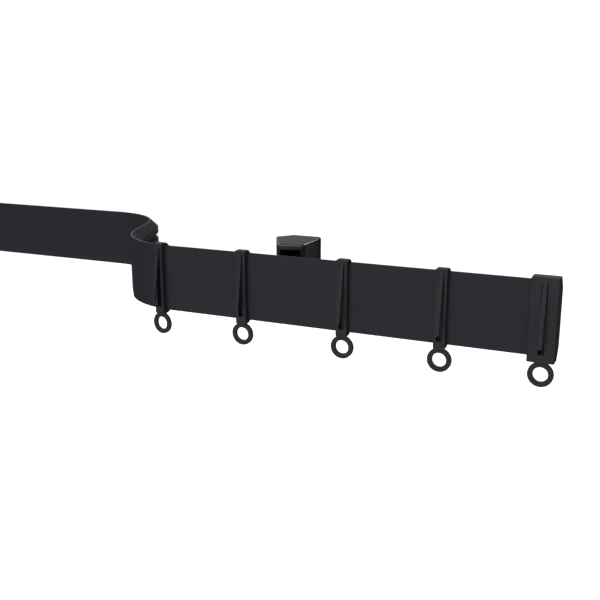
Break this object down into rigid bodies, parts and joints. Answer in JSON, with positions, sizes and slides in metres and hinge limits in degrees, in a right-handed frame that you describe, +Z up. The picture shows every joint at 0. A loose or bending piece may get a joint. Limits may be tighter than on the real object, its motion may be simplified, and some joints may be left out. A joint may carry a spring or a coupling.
{
  "type": "curtain track",
  "caption": "Tall flat black curtain rail that steps back round a corner in an S bend, with clip gliders that carry eyes, end caps and a covered wall bracket.",
  "frame": {"origin": "on the wall, at the middle of the bracket plate's back, level with the rail's centre line", "axes": "+X along the near run towards its end, +Y into the wall, +Z up"},
  "size_m": [0.5847, 0.1391, 0.0694],
  "materials": {
    "rail": "satin black coating",
    "plastic": "fine matt black moulding",
    "cover": "glossy black moulding",
    "bracket": "black powder coat",
    "fasteners": "zinc plated"
  },
  "bodies": {
    "track": {"rail": "rail", "near_end_cap": "plastic", "far_end_cap": "plastic", "wall_bracket": "bracket", "rail_clamp": "bracket", "clamp_screw": "fasteners", "clamp_washer": "fasteners", "clamp_nut": "fasteners", "bracket_cover": "cover"},
    "first_glider": {"glider_1": "plastic"},
    "second_glider": {"glider_2": "plastic"},
    "third_glider": {"glider_3": "plastic"},
    "fourth_glider": {"glider_4": "plastic"}
  },
  "joints": [
    {"name": "glider_1_round_bend", "type": "hinge", "parent": "track", "child": "first_glider", "pos_m": [-0.0795, 0.0178, 0], "axis": [0, 0, -1], "range_deg": [-8, 59]},
    {"name": "glider_2_slide", "type": "slide", "parent": "track", "child": "second_glider", "axis": [1, 0, 0], "range_m": [-0.0396, 0.0568]},
    {"name": "glider_3_slide", "type": "slide", "parent": "track", "child": "third_glider", "axis": [1, 0, 0], "range_m": [-0.0568, 0.0486]},
    {"name": "glider_4_slide", "type": "slide", "parent": "track", "child": "fourth_glider", "axis": [1, 0, 0], "range_m": [-0.0486, 0.0452]}
  ]
}
